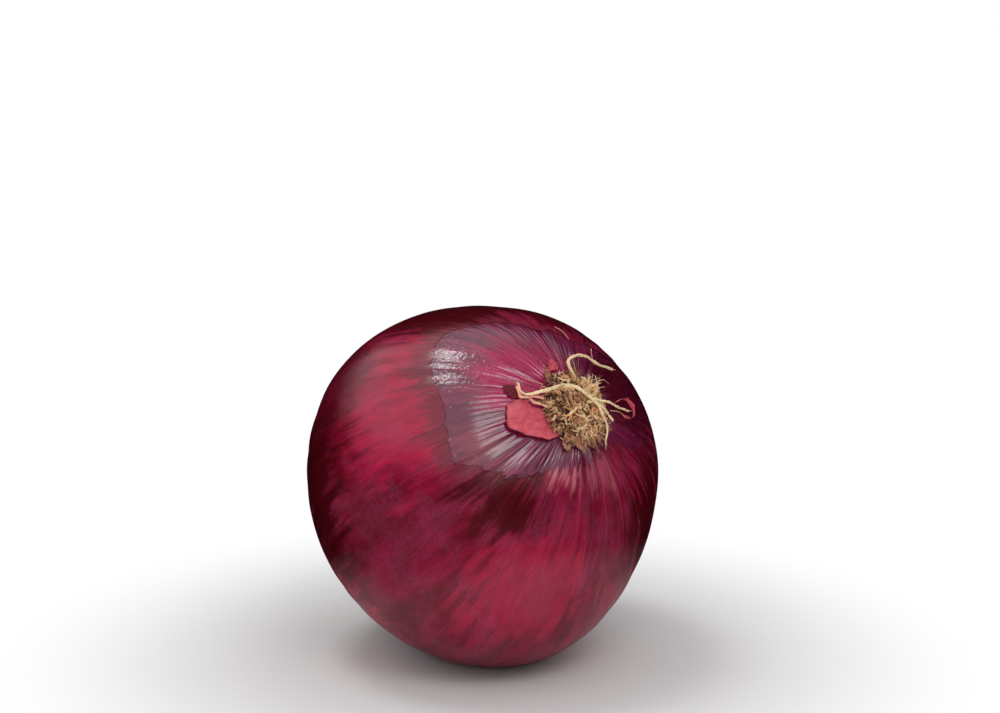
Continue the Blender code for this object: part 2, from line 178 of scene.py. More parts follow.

# Wine-dark patches of painted shade and rosy patches, partly rosy skin and partly painted highlight, on the outer
# skin: centre from the heart, radius and softness in mm, strength
PAINTED_SHADE_PATCHES = (
    ((-39.5, 12.0, -7.0), 6, 14, 0.92), ((-39.3, -0.5, -12.5), 4, 11, 0.88), ((19.0, -27.0, 26.0), 6, 10, 0.80),
    ((-31.0, 27.0, 0.0), 6, 12, 0.60), ((-6.0, 36.0, 20.0), 9, 10, 0.92), ((18.0, 32.0, 22.0), 12, 10, 0.90),
    ((-22.5, -15.0, 31.0), 4.5, 7.5, 0.85), ((34.0, 8.0, 22.0), 12, 12, 0.85),
    ((19.0, -15.0, 32.5), 5, 7, 0.75),
)
ROSY_AND_HIGHLIGHT_PATCHES = (
    ((-35.0, 12.0, 18.0), 7, 11, 0.75), ((-17.0, -33.0, 19.0), 7, 13, 0.70),
    ((-29.0, -16.0, -24.0), 7, 10, 0.80), ((16.0, -38.0, 2.0), 10, 14, 0.65),
    ((-22.6, 29.4, 19.4), 4, 9, 0.60),
)

# Camera: a long lens that looks slightly down, with the bulb's heart a little left of the middle
LENS = 90.0
SENSOR = 36.0
CAMERA_PITCH = math.radians(12.05)
CAMERA_DISTANCE = 0.5821545
FRAME_WIDTH = 1000
HEART_PIXEL = (482.0, 485.5)
FRAME_MIDDLE = (500.0, 356.5)
HEART_SHIFT = (0.233 * MM, 0.912 * MM)


def smooth_step(low, high, value):
    """0 below low, 1 above high, and an even slope between."""
    t = np.clip((value - low) / (high - low), 0.0, 1.0)
    return t * t * (3 - 2 * t)


def curve_through(points, places):
    """Smooth curve through (place, height) points, read at many places."""
    x, y = np.array(points, float).T
    slopes = np.zeros(len(x))
    slopes[1:-1] = (y[2:] - y[:-2]) / (x[2:] - x[:-2])
    k = np.clip(np.searchsorted(x, places, side="right") - 1, 0, len(x) - 2)
    w = x[k + 1] - x[k]
    t = (places - x[k]) / w
    rise = (2 * t - 3) * t * t
    leaving = ((t - 2) * t + 1) * t * w * slopes[k]
    arriving = (t - 1) * t * t * w * slopes[k + 1]
    return (1 + rise) * y[k] - rise * y[k + 1] + leaving + arriving


def waves(turn, angle, laps, count, seed, drift=1.0):
    """Irregular waves round the axis that meet themselves after a lap, of about 1 in height."""
    draw = np.random.default_rng(seed)
    total = np.zeros(np.broadcast(turn, angle).shape)
    for _ in range(count):
        lap = int(draw.integers(*laps))
        total = total + np.cos(lap * turn + draw.uniform(0, LAP) + draw.normal() * drift * angle)
    return total / math.sqrt(count / 2)


def unit(vectors):
    return vectors / np.maximum(np.linalg.norm(vectors, axis=-1, keepdims=True), 1e-12)


def form(angle, turn):
    """Smooth surface of the bulb: angle from the root plate and turn round the axis, in radians."""
    reach = HALF * curve_through(OUTLINE, np.degrees(angle))
    height = reach * np.cos(angle)
    fade = np.maximum(0.0, 1 - (height / HALF) ** 2)
    swell = sum(share * np.cos(lobes * (turn - math.radians(first))) for share, lobes, first in SWELLS)
    radius = reach * np.sin(angle) * (1 + fade * swell)
    return np.stack((radius * np.cos(turn), radius * np.sin(turn), height), axis=-1)


def laid_down():
    """How the bulb is turned, and where its heart is, so that its lowest stretch is a flat spot at the origin."""
    root = np.array((math.cos(ROOT_ELEVATION) * math.cos(ROOT_HEADING),
                     math.cos(ROOT_ELEVATION) * math.sin(ROOT_HEADING), math.sin(ROOT_ELEVATION)))
    across = unit(np.cross(UP, root))
    tilt = np.stack((across, np.cross(root, across), root), axis=1)
    steps = 180
    angle, turn = np.meshgrid(np.arange(1, steps) * math.pi / steps, np.arange(steps) * LAP / steps)
    placed = form(angle, turn).reshape(-1, 3) @ tilt.T
    low = placed[placed[:, 2].argmin()]
    return tilt, np.array((-low[0], -low[1], -low[2] - FLAT_DEPTH))


TILT, HEART = laid_down()
LAID = Matrix.Translation(HEART) @ Matrix(TILT).to_4x4()


def settle(points, depth):
    """Flattens what would reach lower than this depth over the resting surface."""
    placed = points @ TILT.T + HEART
    placed[..., 2] = np.maximum(placed[..., 2], depth)
    return (placed - HEART) @ TILT


def bulb_height(x, y):
    """Height of the smooth root end over points x, y off the axis."""
    turn = np.arctan2(y, x)
    off_axis = np.hypot(x, y)
    low = np.zeros_like(off_axis)
    high = np.full_like(off_axis, math.radians(70))
    for _ in range(30):
        middle = (low + high) / 2
        point = form(middle, turn)
        inside = np.hypot(point[..., 0], point[..., 1]) < off_axis
        low = np.where(inside, middle, low)
        high = np.where(inside, high, middle)
    return form(low, turn)[..., 2]


def over(points):
    """Points x, y off the axis and a lift over the bulb, all in millimetres, as places in metres."""
    lifted = np.array(points, float) * MM
    lifted[..., 2] += bulb_height(lifted[..., 0], lifted[..., 1])
    return lifted


def plate_top(radius):
    """Height of the domed top of the root plate."""
    share = np.minimum(1.0, radius / PLATE_RADIUS)
    rim = bulb_height(np.array([PLATE_RADIUS]), np.array([0.0]))[0] - PLATE_GAP / 2
    return rim + PLATE_RIM + PLATE_DOME * np.sqrt(1 - share * share)


def ribs(angle, turn):
    """Height of the uneven ribs, puckers and dents that both skins follow."""
    degrees = np.degrees(angle)
    strayed = turn + 0.16 * waves(turn, angle, (2, 9), 6, 21, 0.5)
    root = ROOT_PUCKER * np.exp(-((degrees - 21) / 11) ** 2)
    neck = NECK_PUCKER * smooth_step(140, 168, degrees)
    ends = smooth_step(7, 13, degrees) * smooth_step(0, 7, 180 - degrees)
    strength = 0.75 + 0.35 * waves(turn, angle, (1, 7), 5, 22, 1.0)
    folds = (RIB_HEIGHT + root + neck) * ends * np.cos(RIBS * strayed) * strength
    return folds + DENT * waves(turn, angle, (1, 6), 8, 23, 4.0) * smooth_step(12, 30, degrees)


def edge_kind(turn, column):
    """One of the values of EDGE_KINDS at this turn round the axis."""
    table = np.array(EDGE_KINDS, float)
    return np.interp(np.degrees(turn) % 360, table[:, 0], table[:, column])


def torn_edge(turn):
    """Angle of the outer skin's torn edge, in degrees."""
    edge = np.interp(np.degrees(turn) % 360, *np.array(TORN_EDGE, float).T)
    jags = 0.75 * waves(turn, 0.0, (14, 52), 12, 31) + 0.32 * waves(turn, 0.0, (70, 190), 16, 32)
    fringe = np.abs(waves(turn, 0.0, (22, 60), 8, 33)) - 0.6
    return edge + edge_kind(turn, 1) * jags - edge_kind(turn, 2) * fringe


def neck_edge(turn):
    """Angle of the outer skin's ragged edge at the neck, in degrees."""
    return NECK_EDGE + 1.6 * waves(turn, 0.0, (5, 26), 9, 41) + 0.8 * waves(turn, 0.0, (40, 150), 12, 42)


class Recipe:
    """A node tree being filled in. Each method adds a node and gives back what it puts out."""

    def __init__(self, tree):
        self.tree = tree
        self.place = None

    def feed(self, socket, value):
        """A socket takes another node's output, a number or a colour."""
        if isinstance(value, bpy.types.NodeSocket):
            self.tree.links.new(value, socket)
        elif socket.type == "RGBA":
            socket.default_value = (*value, 1.0)
        else:
            socket.default_value = value

    def add(self, kind, inputs=None, **settings):
        made = self.tree.nodes.new(kind)
        for name, value in settings.items():
            setattr(made, name, value)
        for name, value in (inputs or {}).items():
            self.feed(made.inputs[name], value)
        return made

    def maths(self, operation, first, second=0.0):
        made = self.add("ShaderNodeMath", {0: first, 1: second}, operation=operation)
        return made.outputs[0]

    def times(self, first, second):
        return self.maths("MULTIPLY", first, second)

    def vector_maths(self, operation, first, second):
        made = self.add("ShaderNodeVectorMath", {0: first, 1: second}, operation=operation)
        return made.outputs["Value" if operation in ("DISTANCE", "DOT_PRODUCT") else "Vector"]

    def scaled(self, vector, factor):
        made = self.add("ShaderNodeVectorMath", {0: vector, "Scale": factor}, operation="SCALE")
        return made.outputs["Vector"]

    def spread(self, value, low, high, to_low=0.0, to_high=1.0):
        """Maps low..high smoothly to to_low..to_high, and holds the ends."""
        inputs = {"Value": value, "From Min": low, "From Max": high, "To Min": to_low, "To Max": to_high}
        return self.add("ShaderNodeMapRange", inputs, interpolation_type="SMOOTHSTEP").outputs[0]

    def between(self, mask, low, high):
        """From low to high as the mask goes from 0 to 1."""
        return self.spread(mask, 0.0, 1.0, low, high)

    def mix(self, share, first, second, blend="MIX"):
        made = self.add("ShaderNodeMix", data_type="RGBA", blend_type=blend)
        for k, value in ((0, share), (6, first), (7, second)):
            self.feed(made.inputs[k], value)
        return made.outputs[2]

    def tint(self, colour, mask, strength, other):
        """The colour with another laid over it, where the mask is and at this strength."""
        return self.mix(self.times(mask, strength), colour, other)

    def noise(self, vector, scale, detail, roughness=0.55, output="Fac"):
        inputs = {"Vector": vector, "Scale": scale, "Detail": detail, "Roughness": roughness}
        return self.add("ShaderNodeTexNoise", inputs).outputs[output]

    def attribute(self, name):
        return self.add("ShaderNodeAttribute", attribute_name=name).outputs["Fac"]

    def group(self, tree, **inputs):
        """A shader group at the recipe's place. What isn't given keeps the group's own value."""
        return self.add("ShaderNodeGroup", {"Vector": self.place, **inputs}, node_tree=tree).outputs[0]

    def patch(self, centre, radius, softness, raggedness):
        """A ragged patch of the bulb, measured from its heart in millimetres."""
        return self.group(PATCH, Centre=tuple(value * MM for value in centre), Radius=radius * MM,
                          Softness=softness * MM, Raggedness=raggedness * MM)

    def surface(self, share, first, second):
        """The material's surface turns from the first shader to the second by this share."""
        made = self.add("ShaderNodeMixShader", {0: share, 1: first, 2: second})
        self.feed(self.tree.nodes["Material Output"].inputs["Surface"], made.outputs[0])


def new_group(name, output="Value", **inputs):
    """An empty shader group with named inputs that puts out one value, or a place if its output says so."""
    tree = bpy.data.node_groups.new(name, "ShaderNodeTree")
    for label, value in {"Vector": (0.0, 0.0, 0.0), **inputs}.items():
        kind = "NodeSocketVector" if isinstance(value, tuple) else "NodeSocketFloat"
        tree.interface.new_socket(label, in_out="INPUT", socket_type=kind).default_value = value
    kind = "NodeSocketVector" if output == "Place" else "NodeSocketFloat"
    tree.interface.new_socket(output, in_out="OUTPUT", socket_type=kind)
    recipe = Recipe(tree)
    given = tree.nodes.new("NodeGroupInput").outputs
    recipe.place = given["Vector"]
    return recipe, given, tree.nodes.new("NodeGroupOutput").inputs[0]


def swayed(recipe, amount, size):
    """The place, pushed about by a soft noise of this feature size."""
    push = recipe.noise(recipe.place, 1 / size, 2.0, output="Color")
    centred = recipe.vector_maths("SUBTRACT", push, (0.5, 0.5, 0.5))
    return recipe.vector_maths("ADD", recipe.place, recipe.scaled(centred, amount))


def moved_on(recipe, vector, seed):
    """The same place moved on along all axes, where the noise is another one."""
    return recipe.vector_maths("ADD", vector, recipe.scaled((1.0, 1.0, 1.0), seed))


def lengthwise(recipe, given, size):
    """Coordinates stretched along the lines from the root plate to the neck, swayed at this feature size."""
    place = swayed(recipe, given["Sway"], size)
    parts = recipe.add("ShaderNodeSeparateXYZ", {"Vector": place}).outputs
    squares = recipe.maths("ADD", recipe.times(parts[0], parts[0]), recipe.times(parts[1], parts[1]))
    off_axis = recipe.maths("MAXIMUM", recipe.maths("SQRT", squares), 1e-6)
    angle = recipe.maths("ARCTAN2", off_axis, parts[2])
    around = [recipe.times(recipe.maths("DIVIDE", parts[k], off_axis), given["Around"]) for k in range(2)]
    made = recipe.add("ShaderNodeCombineXYZ", {0: around[0], 1: around[1], 2: recipe.times(angle, given["Along"])})
    return moved_on(recipe, made.outputs[0], given["Seed"])


def make_bulb_place():
    """A place measured from the bulb's heart, with the root plate along +Z."""
    recipe, _, result = new_group("place_in_the_bulb", "Place")
    from_heart = recipe.vector_maths("SUBTRACT", recipe.place, tuple(HEART))
    parts = {k: recipe.vector_maths("DOT_PRODUCT", from_heart, tuple(TILT[:, k])) for k in range(3)}
    recipe.feed(result, recipe.add("ShaderNodeCombineXYZ", parts).outputs[0])
    return recipe.tree


def make_streaks():
    """Streaks from the root plate to the neck, about six times Around of them in a lap."""
    recipe, given, result = new_group("lengthwise_streaks", Around=10.0, Along=1.0, Detail=4.0, Roughness=0.55,
                                      Low=0.34, High=0.70, Sway=0.002, Seed=0.0)
    value = recipe.noise(lengthwise(recipe, given, 0.02), 1.0, given["Detail"], given["Roughness"])
    recipe.feed(result, recipe.spread(value, given["Low"], given["High"]))
    return recipe.tree


def make_veins():
    """Thin dark or pale lines from the root plate to the neck."""
    recipe, given, result = new_group("lengthwise_veins", Around=14.0, Along=0.5, Width=0.05, Sway=0.002,
                                      Seed=0.0)
    value = recipe.noise(lengthwise(recipe, given, 0.03), 1.0, 1.5, 0.5)
    away = recipe.maths("ABSOLUTE", recipe.maths("SUBTRACT", value, 0.5))
    recipe.feed(result, recipe.spread(away, 0.0, given["Width"], 1.0, 0.0))
    return recipe.tree


def make_blotches():
    """Soft uneven blotches of one size in metres."""
    recipe, given, result = new_group("blotches", Size=0.01, Detail=4.0, Roughness=0.6, Low=0.35, High=0.65,
                                      Seed=0.0)
    place = moved_on(recipe, recipe.place, given["Seed"])
    value = recipe.noise(place, recipe.maths("DIVIDE", 1.0, given["Size"]), given["Detail"], given["Roughness"])
    recipe.feed(result, recipe.spread(value, given["Low"], given["High"]))
    return recipe.tree


def make_patch():
    """A patch with a soft edge round a centre, ragged and drawn out in streaks."""
    recipe, given, result = new_group("ragged_patch", Centre=(0.0, 0.0, 0.0), Radius=0.01, Softness=0.004,
                                      Raggedness=0.004)
    place = swayed(recipe, given["Raggedness"], 0.006)
    streaks = recipe.group(STREAKS, Around=15, Along=3, Roughness=0.6, Low=0.30, Sway=0.003, Seed=15)
    uneven = recipe.times(recipe.maths("SUBTRACT", streaks, 0.5), given["Raggedness"])
    away = recipe.maths("ADD", recipe.vector_maths("DISTANCE", place, given["Centre"]), uneven)
    outer = recipe.maths("ADD", given["Radius"], given["Softness"])
    recipe.feed(result, recipe.spread(away, given["Radius"], outer, 1.0, 0.0))
    return recipe.tree


def make_specks():
    """Scattered small specks: one in each cell of this size, shown for a share of the cells."""
    recipe, given, result = new_group("specks", Cell=0.003, Size=0.12, Share=0.3)
    scale = recipe.maths("DIVIDE", 1.0, given["Cell"])
    place = swayed(recipe, 0.0006, 0.001)
    cells = recipe.add("ShaderNodeTexVoronoi", {"Vector": place, "Scale": scale}).outputs
    spot = recipe.spread(cells["Distance"], recipe.times(given["Size"], 0.5), given["Size"], 1.0, 0.0)
    colour = recipe.add("ShaderNodeSeparateColor", {"Color": cells["Color"]})
    chosen = recipe.maths("LESS_THAN", colour.outputs[0], given["Share"])
    recipe.feed(result, recipe.times(spot, chosen))
    return recipe.tree


BULB_PLACE = make_bulb_place()
STREAKS = make_streaks()
VEINS = make_veins()
BLOTCHES = make_blotches()
PATCH = make_patch()
SPECKS = make_specks()


def plain_material(name):
    """A material with its recipe and its Principled shader."""
    material = bpy.data.materials.new(name)
    material.use_nodes = True
    return material, Recipe(material.node_tree), material.node_tree.nodes["Principled BSDF"]


def bulb_material(name):
    """A material whose recipe starts from the bulb's own coordinates."""
    material, recipe, shader = plain_material(name)
    recipe.place = recipe.add("ShaderNodeTexCoord").outputs["Object"]
    recipe.place = recipe.group(BULB_PLACE)
    return material, recipe, shader


def paint(recipe, shader, colour, dull, bumps):
    """Feeds colour, roughness and bumps to the shader. Each bump is its height in millimetres and its value."""
    recipe.feed(shader.inputs["Base Color"], colour)
    recipe.feed(shader.inputs["Roughness"], dull)
    normal = {}
    for height, value in bumps:
        made = recipe.add("ShaderNodeBump", {"Strength": 1.0, "Distance": height * MM, "Height": value, **normal})
        normal = {"Normal": made.outputs["Normal"]}
    recipe.feed(shader.inputs["Normal"], normal["Normal"])


def outer_skin_material():
    """Dry crimson skin: fine strokes, wine-dark patches of painted shade, rosy patches that are partly painted
    highlight, pale veins, and a greyish film by the tear that is partly painted haze.
    """
    material, recipe, shader = bulb_material("outer_skin")
    mottle = recipe.group(STREAKS, Around=34, Along=15, Detail=6, Roughness=0.66, Low=0.36, High=0.66,
                          Sway=0.003, Seed=5)
    broad = recipe.group(STREAKS, Around=7, Along=2.6, Detail=3, High=0.66, Sway=0.005, Seed=3)
    bands = recipe.group(STREAKS, Around=26, Along=3.6)
    strokes = recipe.group(STREAKS, Around=80, Along=8, Roughness=0.6, High=0.72, Seed=7)
    colour = recipe.mix(broad, (0.155, 0.001, 0.014), (0.27, 0.0026, 0.038))
    # Rosy patches: partly lighter rosy skin, partly a painted highlight
    for centre, radius, softness, strength in ROSY_AND_HIGHLIGHT_PATCHES:
        rosy_and_highlight = recipe.patch(centre, radius, softness, 12)
        colour = recipe.tint(colour, rosy_and_highlight, strength, (0.50, 0.01, 0.06))
    # Painted shade: wine-dark patches on the flanks, the top rim and beside the tear; clear is what they leave
    # unshaded
    clear = 1.0
    for centre, radius, softness, strength in PAINTED_SHADE_PATCHES:
        painted_shade = recipe.times(recipe.patch(centre, radius, softness, 10), strength)
        colour = recipe.mix(painted_shade, colour, (0.06, 0.0003, 0.002))
        clear = recipe.times(clear, recipe.maths("SUBTRACT", 1.0, painted_shade))
    lighter = recipe.mix(1.0, colour, (1.42, 1.35, 1.15), "MULTIPLY")
    darker = recipe.mix(1.0, colour, (0.66, 0.60, 0.70), "MULTIPLY")
    colour = recipe.tint(colour, bands, 0.55, lighter)
    colour = recipe.tint(colour, strokes, 0.50, darker)
    colour = recipe.tint(colour, mottle, 0.35, darker)

    dust = recipe.group(STREAKS, Around=95, Along=60, Detail=6, Roughness=0.80, Low=0.30, High=0.74,
                        Sway=0.004, Seed=6)
    clouds = recipe.group(BLOTCHES, Size=0.0085, Low=0.38, High=0.60, Seed=8)
    bloom = recipe.times(recipe.times(dust, clouds), clear)
    colour = recipe.tint(colour, bloom, 0.32, (0.32, 0.08, 0.17))
    veins = recipe.group(VEINS, Around=13, Along=0.4, Width=0.012, Sway=0.0012)
    shown = recipe.between(recipe.patch((2, -22, 34), 8, 16, 6), 0.07, 0.40)
    colour = recipe.tint(colour, veins, shown, (0.48, 0.07, 0.13))

    # A greyish band by the tear: partly the real thin film, partly painted haze of reflected light
    uneven = recipe.times(recipe.maths("SUBTRACT", bands, 0.5), 0.7)
    from_tear = recipe.maths("ADD", recipe.attribute("from_tear"), uneven)
    film = recipe.spread(from_tear, 0.50, 1.15, 1.0, 0.0)
    film_and_haze_colour = recipe.mix(strokes, (0.19, 0.022, 0.036), (0.14, 0.011, 0.026))
    colour = recipe.tint(colour, film, recipe.times(clear, 0.72), film_and_haze_colour)
    dry = recipe.patch((-8.3, -12.5, 36.9), 1.8, 4, 5)
    beside = recipe.patch((1, -14.8, 37), 2, 5, 5)
    dry = recipe.maths("MAXIMUM", dry, recipe.times(beside, 0.42))
    colour = recipe.tint(colour, dry, recipe.between(bands, 0.85, 0.30), (0.64, 0.17, 0.22))
    neck = recipe.patch((0, 0, -44), 7, 10, 10)
    dried = recipe.mix(bands, (0.48, 0.20, 0.115), (0.23, 0.03, 0.045))
    colour = recipe.tint(colour, neck, 0.70, dried)

    dull = recipe.maths("ADD", recipe.between(strokes, 0.17, 0.24), recipe.times(neck, 0.25))
    paint(recipe, shader, colour, dull, ((0.012, bands), (0.003, strokes), (0.010, veins)))
    shader.inputs["Specular IOR Level"].default_value = 0.55
    worn = recipe.between(bands, 0.05, 0.40)
    whole = recipe.between(bands, 0.45, 1.05)
    recipe.feed(shader.inputs["Alpha"], recipe.spread(recipe.attribute("fringe"), worn, whole))
    return material


def inner_skin_material():
    """Tight glossy skin: dark purple, magenta towards the root plate, crinkled and finely lined, with painted
    shade right of the root plate.
    """
    material, recipe, shader = bulb_material("inner_skin")
    streaks = recipe.group(STREAKS, Around=16, Along=3, High=0.68, Seed=5)
    fine = recipe.group(STREAKS, Around=70, Along=9, Detail=3, Roughness=0.6, Low=0.40, High=0.72, Sway=0.001,
                        Seed=11)
    colour = recipe.mix(streaks, (0.10, 0.0035, 0.029), (0.215, 0.011, 0.06))
    blush = recipe.patch((-9, 9.5, 38), 6, 10, 6)
    colour = recipe.tint(colour, blush, 0.88, (0.46, 0.003, 0.085))
    bars = recipe.group(STREAKS, Around=24, Along=1.5, Detail=3, Low=0.46, High=0.62, Sway=0.001, Seed=13)
    barred = recipe.patch((-1, 6, 38), 8, 10, 4)
    colour = recipe.tint(colour, bars, recipe.times(barred, 0.48), (0.075, 0.0015, 0.018))
    colour = recipe.tint(colour, fine, 0.22, (0.33, 0.06, 0.125))
    specks = recipe.group(SPECKS, Cell=0.0026, Size=0.16, Share=0.22)
    colour = recipe.tint(colour, specks, 0.35, (0.42, 0.19, 0.25))
    # Painted shade: the skin right of the root plate darkened nearly to black
    right_painted_shade = recipe.patch((19, 2, 35), 7, 8, 4)
    colour = recipe.tint(colour, right_painted_shade, 0.80, (0.055, 0.0006, 0.005))
    remnant = recipe.patch((-24.5, -3, 32.5), 2.2, 4, 6)
    colour = recipe.tint(colour, remnant, 0.40, (0.30, 0.05, 0.06))
    neck = recipe.patch((0, 0, -47), 12, 6, 6)
    dried = recipe.mix(streaks, (0.42, 0.21, 0.115), (0.20, 0.05, 0.05))
    colour = recipe.tint(colour, neck, 0.85, dried)

    crinkles = recipe.group(BLOTCHES, Size=0.0011, Detail=3, Roughness=0.55, Low=0.30, High=0.70)
    folds = recipe.times(crinkles, recipe.patch((-20, 19, 31), 7, 7, 5))
    dull = recipe.maths("ADD", recipe.between(fine, 0.13, 0.21), recipe.times(neck, 0.45))
    paint(recipe, shader, colour, dull, ((0.03, streaks), (0.004, fine), (0.05, folds), (0.006, crinkles)))
    shader.inputs["Specular IOR Level"].default_value = 1.0
    return material


def dried_root_material():
    """Tan dried root: dark reddish brown where its tone is low, which is partly painted shade low in the mat and
    on one side, and pale straw where it stands out.
    """
    material, recipe, shader = bulb_material("dried_root")
    tone = recipe.attribute("tone")
    grain = recipe.group(BLOTCHES, Size=0.0006)
    patches = recipe.group(BLOTCHES, Size=0.004, Detail=2, Roughness=0.5, Low=0.40, High=0.66, Seed=2)
    colour = recipe.mix(recipe.spread(tone, 0.10, 0.55), (0.045, 0.015, 0.007), (0.88, 0.39, 0.14))
    colour = recipe.mix(recipe.spread(tone, 0.42, 0.85), colour, (1.0, 0.80, 0.47))
    colour = recipe.tint(colour, grain, 0.25, (0.40, 0.19, 0.085))
    colour = recipe.tint(colour, patches, 0.25, (0.52, 0.20, 0.115))
    paint(recipe, shader, colour, recipe.between(grain, 0.55, 0.80), ((0.05, grain),))
    return material


def shred_material():
    """Brown, brittle skin that frays from under the root plate."""
    material, recipe, shader = bulb_material("brown_shred")
    grain = recipe.group(STREAKS, Around=40, Along=12, Roughness=0.6, Low=0.30, Sway=0.001, Seed=9)
    blotch = recipe.group(BLOTCHES, Size=0.0022, Detail=3, Low=0.40, High=0.62)
    colour = recipe.mix(grain, (0.13, 0.042, 0.025), (0.48, 0.20, 0.105))
    colour = recipe.tint(colour, blotch, 0.50, (0.70, 0.37, 0.21))
    paint(recipe, shader, colour, recipe.between(grain, 0.55, 0.75), ((0.05, grain),))
    return material


def ribbon_material():
    """Salmon-coloured root skin with pale folds."""
    material, recipe, shader = bulb_material("root_skin")
    grain = recipe.group(BLOTCHES, Size=0.001)
    colour = recipe.mix(grain, (0.72, 0.26, 0.18), (0.85, 0.48, 0.30))
    paint(recipe, shader, colour, recipe.between(grain, 0.50, 0.70), ((0.04, grain),))
    return material


def scrap_material():
    """Matte pinkish-red dry skin, with a painted shadow darkening it along its edge."""
    material, recipe, shader = bulb_material("scrap_skin")
    grain = recipe.group(BLOTCHES, Size=0.0012, Roughness=0.65, Low=0.30, High=0.70)
    clouds = recipe.group(BLOTCHES, Size=0.005, Detail=2, Roughness=0.5, Low=0.40, Seed=4)
    veins = recipe.group(VEINS, Around=22, Along=0.6, Width=0.03, Seed=3)
    # Painted shadow along the scrap's edge, carried by the rim attribute
    rim = recipe.spread(recipe.attribute("rim"), 0.0, 0.35, 1.0, 0.0)
    colour = recipe.mix(grain, (0.52, 0.056, 0.082), (0.70, 0.108, 0.148))
    colour = recipe.tint(colour, clouds, 0.35, (0.70, 0.17, 0.20))
    colour = recipe.tint(colour, veins, 0.25, (0.27, 0.018, 0.035))
    colour = recipe.tint(colour, rim, 0.90, (0.09, 0.0003, 0.01))
    paint(recipe, shader, colour, recipe.between(grain, 0.50, 0.66), ((0.03, clouds), (0.012, grain)))
    shader.inputs["Specular IOR Level"].default_value = 0.25
    return material


def set_attribute(mesh, name, values):
    made = mesh.attributes.new(name, "FLOAT", "POINT")
    made.data.foreach_set("value", np.asarray(values, np.float32))


def places_of(mesh):
    found = np.zeros(len(mesh.vertices) * 3, np.float32)
    mesh.vertices.foreach_get("co", found)
    return found.reshape(-1, 3).astype(float)


def move_to(mesh, places):
    mesh.vertices.foreach_set("co", np.asarray(places, np.float32).ravel())
    mesh.update()


def mesh_from(bm, name):
    mesh = bpy.data.meshes.new(name)
    bm.to_mesh(mesh)
    bm.free()
    return mesh


def ball_mesh(name, around, along):
    """A ball to be shaped, its points, and their turn round the axis."""
    bm = bmesh.new()
    bmesh.ops.create_uvsphere(bm, u_segments=around, v_segments=along, radius=1)
    mesh = mesh_from(bm, name)
    ball = places_of(mesh)
    return mesh, ball, np.arctan2(ball[:, 1], ball[:, 0])


def grid_mesh(name, columns, rows):
    """A flat grid to be shaped, and how far its points are along its columns and rows, from 0 to 1."""
    bm = bmesh.new()
    bmesh.ops.create_grid(bm, x_segments=columns, y_segments=rows, size=1)
    mesh = mesh_from(bm, name)
    flat = (places_of(mesh) + 1) / 2
    return mesh, flat[:, 0], flat[:, 1]


def weld(mesh, distance):
    """Joins points that lie on each other, and turns all faces outwards together."""
    bm = bmesh.new()
    bm.from_mesh(mesh)
    bmesh.ops.remove_doubles(bm, verts=bm.verts, dist=distance)
    bmesh.ops.recalc_face_normals(bm, faces=bm.faces)
    bm.to_mesh(mesh)
    bm.free()
    mesh.update()


def add_piece(name, mesh, material, slot, *nodes):
    """One piece, shaded smooth and laid down with the bulb. It stands for these nodes of the solids."""
    piece = bpy.data.objects.new(name, mesh)
    mesh.transform(LAID)
    mesh.shade_smooth()
    mesh.materials.append(material)
    bpy.context.scene.collection.objects.link(piece)
    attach(piece, "root")
    if nodes:
        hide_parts(*nodes)
    return piece


def thicken(piece, thickness, offset):
    shell = piece.modifiers.new("thickness", "SOLIDIFY")
    shell.thickness = thickness
    shell.offset = offset
    shell.use_even_offset = False


def make_inner_skin():
    """The bulb in its tight inner skin: pleated round the root plate, fluted at the neck."""
    mesh, ball, turn = ball_mesh("inner_skin", 640, 150)
    turn = turn % LAP
    even = np.degrees(np.arccos(np.clip(ball[:, 2], -1, 1)))
    angle = np.radians(np.interp(even, (0, 92, 128, 180), (0, 56, 150, 180)))
    degrees = np.degrees(angle)
    torn, neck = torn_edge(turn), neck_edge(turn)
    bare = 1 - smooth_step(torn + 2.0, torn + 6.0, degrees) + smooth_step(neck + 0.5, neck + 4.0, degrees)
    depth = COVERED_DEPTH + (BARE_DEPTH - COVERED_DEPTH) * bare

    pleats = waves(turn, angle, (24, 66), 18, 5, 4.0)
    strength = 0.6 + 0.5 * waves(turn, angle, (2, 11), 8, 6, 6.0)
    near_plate = smooth_step(9, 15, degrees) * (1 - 0.75 * smooth_step(18, 34, degrees))
    pleated = PLEAT * near_plate * np.clip(strength, 0.1, 1.4) * np.exp(-(pleats / 0.75) ** 2)
    fine = FINE_PLEAT * waves(turn, angle, (80, 170), 18, 7, 9.0) * smooth_step(9, 14, degrees)
    fine = fine * (1 - 0.6 * smooth_step(26, 42, degrees))
    by_tear = smooth_step(0.0, 2.5, torn - degrees)
    flutes = FLUTE * waves(turn + 2.2 * smooth_step(160, 180, degrees), angle, (16, 40), 10, 8, 2.0)
    flutes = flutes * smooth_step(163, 171, degrees) * smooth_step(0, 4, 180 - degrees)
    relief = (pleated + fine) * by_tear * (degrees < 90) + flutes

    places = form(angle, turn)
    height = ribs(angle, turn) - depth + relief - NECK_HOLLOW * smooth_step(175.5, 180, degrees)
    places = places + unit(places) * height[:, None]
    move_to(mesh, settle(places, FLAT_SKIN_DEPTH))
    add_piece("inner_skin", mesh, inner_skin_material(), "inner_skin", "bulb")


